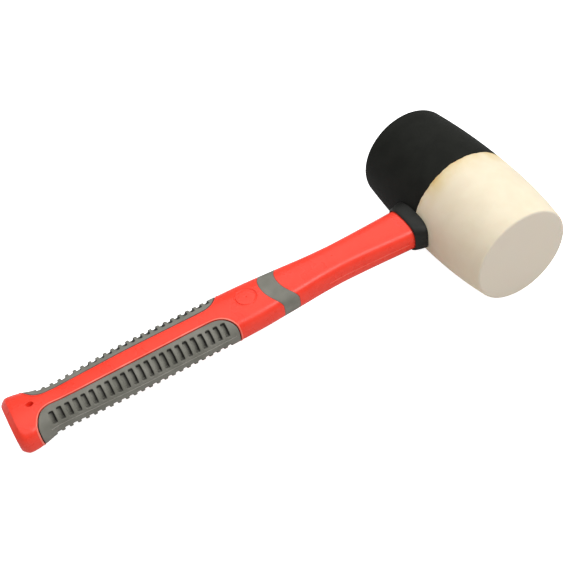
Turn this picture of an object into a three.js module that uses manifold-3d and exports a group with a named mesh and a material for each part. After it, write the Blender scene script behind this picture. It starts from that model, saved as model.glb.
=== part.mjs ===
// Double-faced rubber mallet: barrelled black/white head on a soft-grip fibreglass handle.
// Millimetres, +Z up. The mallet lies on its side: the head's barrel and the flared butt touch the ground,
// the handle points to -X, the white face to -Y and the black face to +Y.
import * as THREE from 'three';
import { mergeVertices } from 'three/addons/utils/BufferGeometryUtils.js';
import Module from 'manifold-3d';

const wasm = await Module();
wasm.setup();

// Working frame while modelling: x runs along the handle from the head centre to the butt,
// y across the handle towards the white face, z through the handle's thickness.

// ---- head ----
const HEAD_RADIUS = 35;          // widest, at the middle of the barrel
const HEAD_HALF_LENGTH = 58.4;
const WHITE_FACE_RADIUS = 30.3;
const BLACK_FACE_RADIUS = 31.4;
const WHITE_TAPER_POWER = 2.45;  // how late each half of the barrel starts to taper
const BLACK_TAPER_POWER = 2;
const WHITE_EDGE_ROUND = 1.5;
const BLACK_EDGE_ROUND = 3.4;
const SEAM_Y = 1.4;              // joint plane of the two rubber halves
const HEAD_SEGMENTS = 64;

// ---- clearances ----
const GAP = 0.3;                 // between any two touching pieces

// ---- eye, tenon and bond ----
const EYE_HALF_WIDTH = 11.6;
const EYE_HALF_HEIGHT = 9.2;
const BOND_THICKNESS = 1.5;
const TENON_POWER = 2.6;
const TENON_END_X = -33.4;       // tenon stops just short of the far side of the barrel
const RIB_COUNT = 6;
const RIB_HEIGHT = 0.6;
const RIB_LENGTH = 2.6;
const RIB_PITCH = 9.5;
const FIRST_RIB_X = -25;

// ---- collar ----
const COLLAR_SOCKET_X = 38;      // floor of the socket the handle sits in
const COLLAR_STATIONS = [        // x, half width, half height, section power, from inside the barrel to the rim
  [26, 16.5, 10.9, 3],
  [35.5, 16.4, 10.9, 3],
  [39, 15.4, 10.8, 2.95],
  [41.6, 14.4, 10.65, 2.85],
  [42.2, 13.9, 10.2, 2.8],
];

// ---- handle stations: x, half width, half height, section power ----
const HANDLE_STATIONS = [
  [38.3, 13.1, 9.4, 2.8],
  [46, 12.95, 9.4, 2.8],
  [62, 12.1, 9.5, 2.8],
  [78, 11.35, 9.6, 2.8],
  [90, 11.1, 9.6, 2.8],
  [104, 11.7, 9.6, 2.8],
  [118, 12.9, 9.65, 2.7],
  [130, 13.8, 9.7, 2.7],
  [142, 14.8, 9.7, 2.6],
  [156, 15.3, 9.7, 2.6],
  [190, 15.45, 9.7, 2.6],
  [224, 15.3, 9.7, 2.6],
  [238, 14.5, 9.7, 2.6],
  [250, 13.9, 9.7, 2.6],
  [260, 13.1, 9.75, 2.65],
  [267, 12.9, 9.95, 2.7],
  [273, 13.4, 10.35, 2.8],
  [279, 15.3, 10.8, 2.9],
  [283, 16.5, 11.1, 3],
  [287, 17, 11.2, 3.1],
];
const BUTT_X = 291.8;            // flat end of the handle
const BUTT_ROUND = 4.5;          // rounding between the sides and the flat end
const BUTT_FULL_X = 286.6;       // widest section, where the rounding starts
const SECTION_POINTS = 32;
const STATION_STEP = 8;

// ---- soft-grip panels ----
const PANEL_DEPTH = 2.4;
const PANEL_OUTLINE = [          // x, y of the edge nearest the spine, from the shaft end to the butt
  [160.7, 15.3], [161.1, 13.6], [162.6, 11], [164.8, 8.3], [167.6, 6.3], [171, 5.2], [176, 4.95],
  [200, 5.1], [235, 5.2], [255, 5.1], [265, 4.9], [269, 4.9], [272.2, 5.5], [274.8, 6.9],
  [276.8, 8.8], [278.6, 11.4], [279.8, 14], [280.2, 15.6],
];
const SLOT_COUNT = 23;
const SLOT_FIRST_X = 270.5;
const SLOT_PITCH = 4.667;
const SLOT_WIDTH = 2.1;
const SLOT_LENGTH = 7.8;
const SLOT_DEPTH = 1.3;
const SLOT_TILT = 0.55;          // radians, lean of the slotted shoulder
const SLOT_CENTRE = [11.3, 7.4]; // y, z of the middle of a slot on the full-width section

// ---- shaft ring ----
const BAND_DEPTH = 1.5;
const BAND_CENTRE_X = 132.7;     // middle of the ring on the top of the handle
const BAND_SWEEP = 6.7;          // how far its sides run back towards the head
const BAND_WIDTH = 10.6;

// ---- core and hanging hole ----
const CORE_RADIUS = 5.2;
const CORE_END_X = 262;
const HOLE_X = 277.9;
const HOLE_RADIUS = 2;

// ---- colours ----
const RED = { color: 0xf0402f, roughness: 0.38, metalness: 0 };
const GREY = { color: 0x7b7b73, roughness: 0.7, metalness: 0 };
const BLACK = { color: 0x242421, roughness: 0.75, metalness: 0 };
const CHARCOAL = { color: 0x2f302d, roughness: 0.6, metalness: 0 };
const CREAM = { color: 0xe9dcc4, roughness: 0.7, metalness: 0 };
const GLASS_FIBRE = { color: 0xd9cf9e, roughness: 0.5, metalness: 0 };
const EPOXY = { color: 0x8d7a4a, roughness: 0.35, metalness: 0 };

// ---------- helpers ----------
function solidFrom(geometry) {
  const bare = geometry.clone();
  for (const name of ['normal', 'uv']) bare.deleteAttribute(name);
  const merged = mergeVertices(bare, 1e-5);
  return new wasm.Manifold(new wasm.Mesh({
    numProp: 3,
    vertProperties: new Float32Array(merged.attributes.position.array),
    triVerts: new Uint32Array(merged.index.array),
  }));
}

function meshFrom(name, solid, material, placement) {
  const data = solid.getMesh();
  const geometry = new THREE.BufferGeometry();
  geometry.setAttribute('position', new THREE.BufferAttribute(new Float32Array(data.vertProperties), 3));
  geometry.setIndex(new THREE.BufferAttribute(new Uint32Array(data.triVerts), 1));
  geometry.applyMatrix4(placement);
  geometry.computeVertexNormals();
  const mesh = new THREE.Mesh(geometry, new THREE.MeshStandardMaterial(material));
  mesh.name = name;
  return mesh;
}

// One closed ring of points of a rounded-rectangle section (a superellipse) at x.
function sectionRing(x, halfWidth, halfHeight, power) {
  const ring = [];
  for (let i = 0; i < SECTION_POINTS; i++) {
    const angle = (i / SECTION_POINTS) * Math.PI * 2;
    const c = Math.cos(angle);
    const s = Math.sin(angle);
    ring.push([
      x,
      halfWidth * Math.sign(c) * Math.abs(c) ** (2 / power),
      halfHeight * Math.sign(s) * Math.abs(s) ** (2 / power),
    ]);
  }
  return ring;
}

// Skin a list of equal rings running along +x and close both ends with a fan.
function loft(rings) {
  const count = rings[0].length;
  const positions = rings.flat(2);
  const indices = [];
  for (let r = 0; r + 1 < rings.length; r++) {
    for (let i = 0; i < count; i++) {
      const a = r * count + i;
      const b = r * count + ((i + 1) % count);
      indices.push(a, b, b + count, a, b + count, a + count);
    }
  }
  const last = (rings.length - 1) * count;
  const start = positions.length / 3;
  positions.push(rings[0][0][0], 0, 0, rings[rings.length - 1][0][0], 0, 0);
  for (let i = 0; i < count; i++) {
    const j = (i + 1) % count;
    indices.push(start, j, i);
    indices.push(start + 1, last + i, last + j);
  }
  const geometry = new THREE.BufferGeometry();
  geometry.setAttribute('position', new THREE.Float32BufferAttribute(positions, 3));
  geometry.setIndex(indices);
  return solidFrom(geometry);
}

function prismAlongX(fromX, toX, halfWidth, halfHeight, power) {
  return loft([sectionRing(fromX, halfWidth, halfHeight, power), sectionRing(toX, halfWidth, halfHeight, power)]);
}

function rodAlongX(fromX, toX, radius) {
  return prismAlongX(fromX, toX, radius, radius, 2);
}

// Straight extrusion of an outline in the x-y plane, from -depth to +depth in z.
function plateFrom(outline, depth) {
  const shape = new THREE.Shape(outline.map(([x, y]) => new THREE.Vector2(x, y)));
  const geometry = new THREE.ExtrudeGeometry(shape, { depth: depth * 2, bevelEnabled: false });
  geometry.translate(0, 0, -depth);
  return solidFrom(geometry);
}

function boxSolid(length, width, height) {
  return solidFrom(new THREE.BoxGeometry(length, width, height));
}

// ---------- handle body ----------
// Section size at x, smoothly interpolated between the stations.
function handleSection(x) {
  const rows = HANDLE_STATIONS;
  const xs = rows.map((row) => row[0]);
  const k = Math.min(Math.max(xs.findIndex((value) => value > x) - 1, 0), rows.length - 2);
  const at = x >= xs[xs.length - 1] ? rows.length - 2 : k;
  const t = Math.min(Math.max((x - xs[at]) / (xs[at + 1] - xs[at]), 0), 1);
  const slope = (i, column) => {
    const lo = Math.max(i - 1, 0);
    const hi = Math.min(i + 1, rows.length - 1);
    return (rows[hi][column] - rows[lo][column]) / (xs[hi] - xs[lo]);
  };
  const span = xs[at + 1] - xs[at];
  return [1, 2, 3].map((column) => {
    const p0 = rows[at][column];
    const p1 = rows[at + 1][column];
    const m0 = slope(at, column) * span;
    const m1 = slope(at + 1, column) * span;
    return (2 * t ** 3 - 3 * t ** 2 + 1) * p0 + (t ** 3 - 2 * t ** 2 + t) * m0
      + (-2 * t ** 3 + 3 * t ** 2) * p1 + (t ** 3 - t ** 2) * m1;
  });
}

// The handle's outer form, shrunk all round by inset, from the shoulder in the collar to the butt.
function handleForm(inset) {
  const first = HANDLE_STATIONS[0][0];
  const rings = [];
  const steps = Math.round((BUTT_FULL_X - first) / STATION_STEP);
  for (let i = 0; i <= steps; i++) {
    const x = first + ((BUTT_FULL_X - first) * i) / steps;
    const [w, h, power] = handleSection(x);
    rings.push(sectionRing(x, w - inset, h - inset, power));
  }
  const [w, h, power] = handleSection(BUTT_FULL_X);
  const roundSteps = 5;
  for (let i = 1; i <= roundSteps; i++) {
    const angle = (i / roundSteps) * (Math.PI / 2);
    const shrink = BUTT_ROUND * (1 - Math.cos(angle));
    const x = BUTT_FULL_X + (BUTT_X - BUTT_FULL_X) * Math.sin(angle) - inset;
    rings.push(sectionRing(x, w - inset - shrink, h - inset - shrink, power));
  }
  return loft(rings);
}

// The region of the handle covered by the front panel, seen from above; side = 1 front, -1 back.
function panelOutline(side, offset) {
  const inner = PANEL_OUTLINE.map(([x, y], i) => {
    const [x0, y0] = PANEL_OUTLINE[Math.max(i - 1, 0)];
    const [x1, y1] = PANEL_OUTLINE[Math.min(i + 1, PANEL_OUTLINE.length - 1)];
    const length = Math.hypot(x1 - x0, y1 - y0);
    return [x + ((y1 - y0) / length) * offset, side * (y - ((x1 - x0) / length) * offset)];
  });
  const ends = [inner[inner.length - 1][0], inner[0][0]];
  return [...inner, [ends[0], side * 25], [ends[1], side * 25]];
}

function panelRegion(side, offset) {
  return plateFrom(panelOutline(side, offset), 20);
}

// A skin of the handle form, depth thick, over the given region.
function skinOver(region, depth) {
  return handleForm(0).intersect(region).subtract(handleForm(depth));
}

// The cut that leaves a recess, depth deep, in the given region of the handle.
function recessIn(region, depth) {
  return region.subtract(handleForm(depth));
}

// One slot cutter on the slotted shoulder; up = 1 top row, -1 bottom row.
function slotCutter(x, side, up) {
  const [w, h] = handleSection(x);
  const [fullWidth, fullHeight] = handleSection(190);
  const y = SLOT_CENTRE[0] + (w - fullWidth);
  const z = SLOT_CENTRE[1] + (h - fullHeight);
  const above = 2;
  const height = SLOT_DEPTH + above;
  const box = boxSolid(SLOT_WIDTH, SLOT_LENGTH, height).translate([0, 0, height / 2 - SLOT_DEPTH]);
  const tilt = -SLOT_TILT * side * up;
  return box
    .scale([1, 1, up])
    .rotate([(tilt * 180) / Math.PI, 0, 0])
    .translate([x, side * y, up * z]);
}

function gripPanel(side) {
  const shell = skinOver(panelRegion(side, 0), PANEL_DEPTH - GAP);
  const cutters = [];
  for (let i = 0; i < SLOT_COUNT; i++) {
    const x = SLOT_FIRST_X - i * SLOT_PITCH;
    for (const up of [1, -1]) cutters.push(slotCutter(x, side, up));
  }
  return shell.subtract(wasm.Manifold.union(cutters));
}

// The ring's two curved edges as seen from above; offset grows the region on both edges.
function bandOutline(offset) {
  const reach = 20;
  const steps = 16;
  const edge = (shift) => Array.from({ length: steps + 1 }, (_, i) => {
    const y = -reach + (2 * reach * i) / steps;
    const sweep = BAND_SWEEP * Math.min(Math.abs(y / 13.5) ** 2.4, 1);
    return [BAND_CENTRE_X + shift - sweep, y];
  });
  const half = BAND_WIDTH / 2 + offset;
  return [...edge(half), ...edge(-half).reverse()];
}

function bandRegion(offset) {
  return plateFrom(bandOutline(offset), 20);
}

// ---------- tenon, core and bond ----------
function tenonForm(grow) {
  const w = EYE_HALF_WIDTH - BOND_THICKNESS + grow;
  const h = EYE_HALF_HEIGHT - BOND_THICKNESS + grow;
  let tenon = prismAlongX(TENON_END_X, HANDLE_STATIONS[0][0] + 1, w, h, TENON_POWER);
  for (let i = 0; i < RIB_COUNT; i++) {
    const x = FIRST_RIB_X + i * RIB_PITCH;
    const rib = prismAlongX(x - RIB_LENGTH / 2 - grow, x + RIB_LENGTH / 2 + grow,
      w + RIB_HEIGHT, h + RIB_HEIGHT, TENON_POWER);
    tenon = tenon.add(rib);
  }
  return tenon;
}

function handleJacket() {
  let jacket = handleForm(0);
  for (const side of [1, -1]) jacket = jacket.subtract(recessIn(panelRegion(side, GAP), PANEL_DEPTH));
  jacket = jacket.subtract(recessIn(bandRegion(GAP), BAND_DEPTH));
  jacket = jacket.add(tenonForm(0));
  jacket = jacket.subtract(rodAlongX(TENON_END_X - 5, CORE_END_X + GAP, CORE_RADIUS + GAP));
  const hole = solidFrom(new THREE.CylinderGeometry(HOLE_RADIUS, HOLE_RADIUS, 40, 24).rotateX(Math.PI / 2));
  return jacket.subtract(hole.translate([HOLE_X, 0, 0]));
}

function fibreglassCore() {
  return rodAlongX(TENON_END_X, CORE_END_X, CORE_RADIUS);
}

function eyeBond() {
  const outer = prismAlongX(TENON_END_X, HEAD_RADIUS - 3, EYE_HALF_WIDTH - GAP, EYE_HALF_HEIGHT - GAP, TENON_POWER);
  return outer.subtract(tenonForm(GAP));
}

// ---------- head ----------
function barrelRadius(y) {
  const face = y > 0 ? WHITE_FACE_RADIUS : BLACK_FACE_RADIUS;
  const power = y > 0 ? WHITE_TAPER_POWER : BLACK_TAPER_POWER;
  return HEAD_RADIUS - (HEAD_RADIUS - face) * (Math.abs(y) / HEAD_HALF_LENGTH) ** power;
}

// Half of the barrel between the seam and one flat face; side = 1 white, -1 black.
function headHalf(side) {
  const round = side > 0 ? WHITE_EDGE_ROUND : BLACK_EDGE_ROUND;
  const start = SEAM_Y + (side * GAP) / 2;
  const end = side * (HEAD_HALF_LENGTH - round);
  const profile = [[0, start]];
  const steps = 9;
  for (let i = 0; i <= steps; i++) {
    const y = start + ((end - start) * i) / steps;
    profile.push([barrelRadius(y), y]);
  }
  const edge = barrelRadius(end);
  const roundSteps = 5;
  for (let i = 1; i <= roundSteps; i++) {
    const angle = (i / roundSteps) * (Math.PI / 2);
    profile.push([edge - round * (1 - Math.cos(angle)), end + side * round * Math.sin(angle)]);
  }
  profile.push([0, side * HEAD_HALF_LENGTH]);
  if (side < 0) profile.reverse();
  const points = profile.map(([radius, y]) => new THREE.Vector2(radius, y));
  const half = solidFrom(new THREE.LatheGeometry(points, HEAD_SEGMENTS));
  const eye = prismAlongX(-50, 50, EYE_HALF_WIDTH, EYE_HALF_HEIGHT, TENON_POWER);
  return half.subtract(eye);
}

// ---------- collar ----------
function neckCollar() {
  const body = loft(COLLAR_STATIONS.map((station) => sectionRing(...station)));
  const radius = HEAD_RADIUS + GAP;
  const barrel = solidFrom(new THREE.CylinderGeometry(radius, radius, 120, HEAD_SEGMENTS));
  const [, w, h, power] = HANDLE_STATIONS[0];
  const socket = prismAlongX(COLLAR_SOCKET_X, 60, w + GAP, h + GAP, power);
  return body.subtract(barrel).subtract(socket).subtract(tenonForm(GAP));
}

// ---------- assembly ----------
// Lay the mallet on its side: turn the handle to -X, drop the butt until it touches the ground.
function placementFor(solids) {
  const [, buttHalfHeight] = handleSection(BUTT_FULL_X);
  const reach = Math.hypot(BUTT_FULL_X, buttHalfHeight);
  const tilt = Math.asin(HEAD_RADIUS / reach) - Math.atan2(buttHalfHeight, BUTT_FULL_X);
  const turn = new THREE.Matrix4().makeRotationZ(Math.PI);
  const lean = new THREE.Matrix4().makeRotationY(-tilt);
  const matrix = lean.multiply(turn);
  const box = new THREE.Box3();
  for (const solid of solids) {
    const data = solid.getMesh().vertProperties;
    for (let i = 0; i < data.length; i += 3) {
      box.expandByPoint(new THREE.Vector3(data[i], data[i + 1], data[i + 2]).applyMatrix4(matrix));
    }
  }
  const centre = box.getCenter(new THREE.Vector3());
  return new THREE.Matrix4().makeTranslation(-centre.x, -centre.y, -box.min.z).multiply(matrix);
}

const pieces = [
  ['black_head_half', headHalf(-1), BLACK],
  ['white_head_half', headHalf(1), CREAM],
  ['neck_collar', neckCollar(), CHARCOAL],
  ['handle_jacket', handleJacket(), RED],
  ['grip_front', gripPanel(1), GREY],
  ['grip_back', gripPanel(-1), GREY],
  ['shaft_band', skinOver(bandRegion(0), BAND_DEPTH - GAP), GREY],
  ['fibreglass_core', fibreglassCore(), GLASS_FIBRE],
  ['eye_bond', eyeBond(), EPOXY],
];

const placement = placementFor(pieces.map(([, solid]) => solid));
const mallet = new THREE.Group();
mallet.name = 'rubber_mallet';
for (const [name, solid, material] of pieces) mallet.add(meshFrom(name, solid, material, placement));

export default mallet;
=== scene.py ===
import math

import bmesh
import bpy
import numpy as np
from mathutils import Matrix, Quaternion, Vector


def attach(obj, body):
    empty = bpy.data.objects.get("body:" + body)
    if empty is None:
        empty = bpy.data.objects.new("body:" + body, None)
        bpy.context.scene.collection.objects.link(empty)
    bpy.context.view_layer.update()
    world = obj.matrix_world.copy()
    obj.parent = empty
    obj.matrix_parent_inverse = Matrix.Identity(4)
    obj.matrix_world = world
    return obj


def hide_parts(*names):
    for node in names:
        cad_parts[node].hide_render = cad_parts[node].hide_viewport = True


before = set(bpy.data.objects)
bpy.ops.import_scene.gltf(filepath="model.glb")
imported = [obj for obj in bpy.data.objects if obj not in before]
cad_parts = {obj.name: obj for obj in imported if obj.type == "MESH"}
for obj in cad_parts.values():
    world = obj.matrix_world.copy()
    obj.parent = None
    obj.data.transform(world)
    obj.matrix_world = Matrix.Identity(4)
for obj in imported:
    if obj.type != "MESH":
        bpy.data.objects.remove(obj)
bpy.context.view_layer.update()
mm = 0.001


# ---------------------------------------------------------------------------------------------
# Fibreglass core
# A pultruded rod, 10.4 mm thick, that stiffens the handle. One end is in the far side of the head,
# a little below the surface, and its sawn face shows cut glass strands set in resin.
TENON_END = -33.4 * mm
CORE_RADIUS, CORE_EDGE = 5.2 * mm, 0.25 * mm
CORE_END = 262 * mm
SAWN_RINGS, SAWN_DISH = (0.9 * mm, 1.6 * mm), 0.05 * mm
MALLET_LEAN = 0.083308   # the handle drops this far (radians) from the head down to its butt
HEAD_PLACE = (128.2207 * mm, 0, 35 * mm)
BUTT_SAG = [          # place along the handle and drop of the handle there, in mm
    (200, 0), (225, 0.15), (245, 0.7), (262, 1.15), (276, 0.95), (287, 0.3), (292.5, 0.2)]


def pick(*pieces):
    """Selects these pieces and nothing else, the first one active."""
    bpy.ops.object.select_all(action="DESELECT")
    for piece in pieces:
        piece.select_set(True)
    if pieces:
        bpy.context.view_layer.objects.active = pieces[0]


def mesh_in_hand():
    """The active piece's mesh while it is being edited."""
    return bmesh.from_edit_mesh(bpy.context.object.data)


def pick_faces(wanted):
    """In edit mode, selects just the faces for which wanted(centre, normal) is true."""
    bpy.ops.mesh.select_mode(type="FACE")
    bpy.ops.mesh.select_all(action="DESELECT")
    shape = mesh_in_hand()
    for face in shape.faces:
        face.select_set(wanted(face.calc_center_median(), face.normal))
    bmesh.update_edit_mesh(bpy.context.object.data)


def draw_bar(name, roundness, corner_cuts, sections):
    """Draws one rounded outline along x through sections of (place, half width, half thickness).

    The outline is a square plate whose corners are bevelled until they meet, so that it follows
    |y/w|^roundness + |z/h|^roundness = 1, and it is then extruded and resized from place to place.
    """
    pick()
    bpy.ops.mesh.primitive_plane_add(size=2, rotation=(0, math.pi / 2, 0))
    bar = bpy.context.object
    bar.name = name
    bpy.ops.object.transform_apply(location=False, rotation=True, scale=False)
    bpy.ops.object.mode_set(mode="EDIT")
    bpy.ops.mesh.select_all(action="SELECT")
    bpy.ops.mesh.bevel(offset_type="OFFSET", offset=1, segments=corner_cuts,
                       profile=2 ** (-2 / roundness), affect="VERTICES")
    bpy.ops.mesh.select_all(action="SELECT")
    bpy.ops.mesh.remove_doubles(threshold=1e-4)
    place, width, thickness = sections[0]
    bpy.ops.transform.resize(value=(1, width, thickness), center_override=(0, 0, 0))
    bpy.ops.transform.translate(value=(place, 0, 0))
    for next_place, next_width, next_thickness in sections[1:]:
        step = next_place - place
        bpy.ops.mesh.extrude_region_move(TRANSFORM_OT_translate={"value": (step, 0, 0)})
        bpy.ops.transform.resize(
            value=(1, next_width / width, next_thickness / thickness),
            center_override=(next_place, 0, 0))
        place, width, thickness = next_place, next_width, next_thickness
    bpy.ops.mesh.select_all(action="SELECT")
    bpy.ops.mesh.normals_make_consistent(inside=False)
    bpy.ops.object.mode_set(mode="OBJECT")
    return bar


def slice_up(axis, places):
    """In edit mode, cuts edge lines right through the mesh at these places of an axis."""
    for at in places:
        spot, way = Vector(), Vector()
        spot[axis], way[axis] = at, 1
        bpy.ops.mesh.select_all(action="SELECT")
        bpy.ops.mesh.bisect(plane_co=spot, plane_no=way)


def lay_down(piece, smooth_up_to=35):
    """Lays the piece on its side with its place in its mesh, and smooths its gentle edges.

    The handle bows down slightly near the butt, and that bow is added here.
    """
    places, drops = zip(*BUTT_SAG)
    for vert in piece.data.vertices:
        vert.co.z -= np.interp(vert.co.x / mm, places, drops) * mm
    pick(piece)
    piece.rotation_euler = (0, MALLET_LEAN, math.pi)
    piece.location = HEAD_PLACE
    bpy.ops.object.transform_apply(location=True, rotation=True, scale=True)
    bpy.ops.object.shade_smooth_by_angle(angle=math.radians(smooth_up_to))


def finish_of(name, **settings):
    """A new Principled material with these socket settings, its nodes, and a link function."""
    material = bpy.data.materials.new(name)
    material.use_nodes = True
    nodes = material.node_tree.nodes
    shader = nodes["Principled BSDF"]
    for socket, value in settings.items():
        shader.inputs[socket.replace("_", " ")].default_value = value
    return material, nodes, shader, material.node_tree.links.new


def node(nodes, kind, **settings):
    """Adds a node; a setting names either a property of it or, with its number, an input."""
    made = nodes.new(kind)
    for key, value in settings.items():
        if key[0] == "i" and key[1:].isdigit():
            made.inputs[int(key[1:])].default_value = value
        else:
            setattr(made, key, value)
    return made


def new_group(name, inputs, outputs):
    """A shader node group with these named (socket type, default) inputs and typed outputs."""
    group = bpy.data.node_groups.new(name, "ShaderNodeTree")
    for label, (kind, value) in inputs.items():
        socket = group.interface.new_socket(label, in_out="INPUT", socket_type=kind)
        socket.default_value = value
    for label, kind in outputs.items():
        group.interface.new_socket(label, in_out="OUTPUT", socket_type=kind)
    return (group, group.nodes, group.links.new, group.nodes.new("NodeGroupInput"),
            group.nodes.new("NodeGroupOutput"))


def place_group(nodes, group, **settings):
    """Puts a group into a material with its own values."""
    made = nodes.new("ShaderNodeGroup")
    made.node_tree = group
    for label, value in settings.items():
        made.inputs[label.replace("_", " ")].default_value = value
    return made


VALUE = "NodeSocketFloat"

# Fine skin: the even, slightly pebbled surface that a spark-eroded or blasted mould leaves, with
# broader faint waves where the material sank as it cooled. Every piece but the core has it.
fine_skin, g_nodes, g_link, g_in, g_out = new_group(
    "fine mould skin",
    {"Grain per metre": (VALUE, 2600.0), "Grain": (VALUE, 1.0), "Waves": (VALUE, 0.5)},
    {"Height": VALUE, "Unevenness": VALUE})
g_place = node(g_nodes, "ShaderNodeTexCoord")
g_grain = node(g_nodes, "ShaderNodeTexNoise", i3=3.0, i4=0.6)
g_waves = node(g_nodes, "ShaderNodeTexNoise", i2=90.0, i3=2.0, i4=0.5)
g_grain_part = node(g_nodes, "ShaderNodeMath", operation="MULTIPLY")
g_waves_part = node(g_nodes, "ShaderNodeMath", operation="MULTIPLY")
g_sum = node(g_nodes, "ShaderNodeMath", operation="ADD")
g_link(g_place.outputs["Object"], g_grain.inputs["Vector"])
g_link(g_place.outputs["Object"], g_waves.inputs["Vector"])
g_link(g_in.outputs["Grain per metre"], g_grain.inputs["Scale"])
g_link(g_grain.outputs["Fac"], g_grain_part.inputs[0])
g_link(g_in.outputs["Grain"], g_grain_part.inputs[1])
g_link(g_waves.outputs["Fac"], g_waves_part.inputs[0])
g_link(g_in.outputs["Waves"], g_waves_part.inputs[1])
g_link(g_grain_part.outputs[0], g_sum.inputs[0])
g_link(g_waves_part.outputs[0], g_sum.inputs[1])
g_link(g_sum.outputs[0], g_out.inputs["Height"])
g_link(g_waves.outputs["Fac"], g_out.inputs["Unevenness"])

pick()
bpy.ops.mesh.primitive_cylinder_add(vertices=48, radius=CORE_RADIUS, depth=CORE_END - TENON_END,
                                    location=((CORE_END + TENON_END) / 2, 0, 0),
                                    rotation=(0, math.pi / 2, 0))
core = bpy.context.object
core.name = "glass_fibre_rod"
bpy.ops.object.transform_apply(location=True, rotation=True, scale=True)
bpy.ops.object.mode_set(mode="EDIT")
pick_faces(lambda centre, normal: abs(normal.x) > 0.9)
bpy.ops.mesh.bevel(offset=CORE_EDGE, segments=2, affect="EDGES")
pick_faces(lambda centre, normal: normal.x < -0.9)
for ring_width in SAWN_RINGS:
    bpy.ops.mesh.inset(thickness=ring_width, depth=-SAWN_DISH)
slice_up(0, np.arange(BUTT_SAG[0][0], CORE_END / mm, 4) * mm)
bpy.ops.object.mode_set(mode="OBJECT")
lay_down(core)

glass_fibre, nodes, shader, link = finish_of("sawn glass fibre", Roughness=0.55, IOR=1.52)
place = node(nodes, "ShaderNodeTexCoord")
squash = node(nodes, "ShaderNodeMapping")
squash.inputs["Scale"].default_value = (0.06, 1, 1)
strands = node(nodes, "ShaderNodeTexVoronoi", i2=2200.0)
tint = node(nodes, "ShaderNodeValToRGB")
tint.color_ramp.elements[0].color = (0.78, 0.68, 0.36, 1)
tint.color_ramp.elements[1].color = (0.36, 0.28, 0.11, 1)
bump = node(nodes, "ShaderNodeBump", i0=0.4, i1=0.0002)
link(place.outputs["Object"], squash.inputs["Vector"])
link(squash.outputs["Vector"], strands.inputs["Vector"])
link(strands.outputs["Distance"], tint.inputs["Fac"])
link(tint.outputs["Color"], shader.inputs["Base Color"])
link(strands.outputs["Distance"], bump.inputs["Height"])
link(bump.outputs["Normal"], shader.inputs["Normal"])
core.data.materials.append(glass_fibre)
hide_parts("fibreglass_core")
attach(core, "root")


# ---------------------------------------------------------------------------------------------
# Handle jacket
# Hard red polypropylene, injection moulded over the core in one shot: a slim waisted shaft that
# swells into the hand and flares at the butt, with a ribbed tenon at the other end for the head.
# The grips and the ring sit in pockets; a raised lip runs round each grip pocket.
HANDLE_ROUNDNESS = 2.8
GRIP_HALF = (15.3 * mm, 9.7 * mm)
HANDLE_SECTIONS = [   # place, half width, half thickness, in mm
    (38.3, 13.1, 9.4), (46, 12.95, 9.4), (62, 12.1, 9.5), (78, 11.35, 9.6), (90, 11.1, 9.6),
    (104, 11.7, 9.6), (118, 12.9, 9.65), (130, 13.8, 9.7), (142, 14.8, 9.7), (156, 15.3, 9.7),
    (190, 15.45, 9.7), (224, 15.3, 9.7), (238, 14.5, 9.7), (250, 13.9, 9.7), (260, 13.1, 9.75),
    (267, 12.9, 9.95), (273, 13.5, 10.25), (279, 15.7, 10.55), (283, 17.0, 10.65),
    (287, 17.5, 10.7)]
SHOULDER, SHOULDER_FULL = 38.3, 38.7      # where the shaft starts and reaches full size, in mm
SHOULDER_ROUND, SHOULDER_DROP = 0.4, 0.35
BUTT_FULL, BUTT_END, BUTT_ROUND, BUTT_STEPS = 286.8 * mm, 292.1 * mm, 3.9 * mm, 12
BUTT_SLOPE, BUTT_CREASE = 5.4 * mm, 0.38  # the crease is the share of the end at which it slopes
BUTT_FACE_RINGS = (0.25 * mm, 0.5 * mm)
TENON_HALF = (10.1 * mm, 7.7 * mm)
RIB_COUNT, RIB_FIRST, RIB_PITCH = 6, -25, 9.5
RIB_HEIGHT = 0.6 * mm
RIB_FORM = ((-1.6, 0), (-1.0, 1), (1.0, 1), (1.6, 0))   # mm from its middle, share of its height
CORE_GAP, BORE_OVERRUN = 0.05 * mm, 4 * mm
POCKET_DEPTH = 3 * mm
LIP_WIDTH, LIP_HEIGHT = 0.95 * mm, 0.3 * mm
POCKET_GAP = 0.3 * mm
FLASH_START, FLASH_END = 46, 100
FLASH_WIDTH, FLASH_HEIGHT = 0.3 * mm, 0.24 * mm
SLIVER, PINHOLE_SIDES = 0.04 * mm, 30
GRIP_OUTLINE = [      # place, half width of the edge on the crown of the handle, in mm
    (160.7, 15.27), (161.1, 13.6), (162.6, 11), (164.8, 8.3), (167.6, 6.3), (171, 5.2),
    (176, 4.95), (200, 5.1), (235, 5.0), (255, 4.7), (265, 4.5), (269, 4.45), (271.9, 5.0),
    (274.6, 6.3), (276.8, 8.7), (278.4, 11.4), (279.6, 14), (280.0, 15.7)]
RING_PLACE, RING_WIDTH, RING_DEPTH, RING_SWEEP = 132.7 * mm, 10.6 * mm, 1.5 * mm, 6.7 * mm
RING_SPUN_RADIUS = 10 * mm
RING_HALF_WIDTH, RING_SWEPT_FROM, RING_SWEEP_POWER = 13.8, 13.5, 2.4
RING_OUTWARD = (190, 95)   # about the squares of the half width and thickness there, in mm
HOLE_PLACE, HOLE_RADIUS, HOLE_OVAL = (278.2 * mm, -0.9 * mm), 1.85 * mm, (1.08, 0.85)
MOUTH_FOOT, MOUTH_TOP = 10.25 * mm, 10.55 * mm   # heights of the hole's softened mouth
MOUTH_SPREAD, CUTTER_SPREAD = 1.08, 1.5
MARK_PLACE, MARK_RADIUS, MARK_LINE = 147.8 * mm, 6.1 * mm, 0.6 * mm
MARK_DOT, MARK_DOT_LIFT, MARK_RING_LIFT = 1.1 * mm, 0.75 * mm, 0.05 * mm


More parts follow.
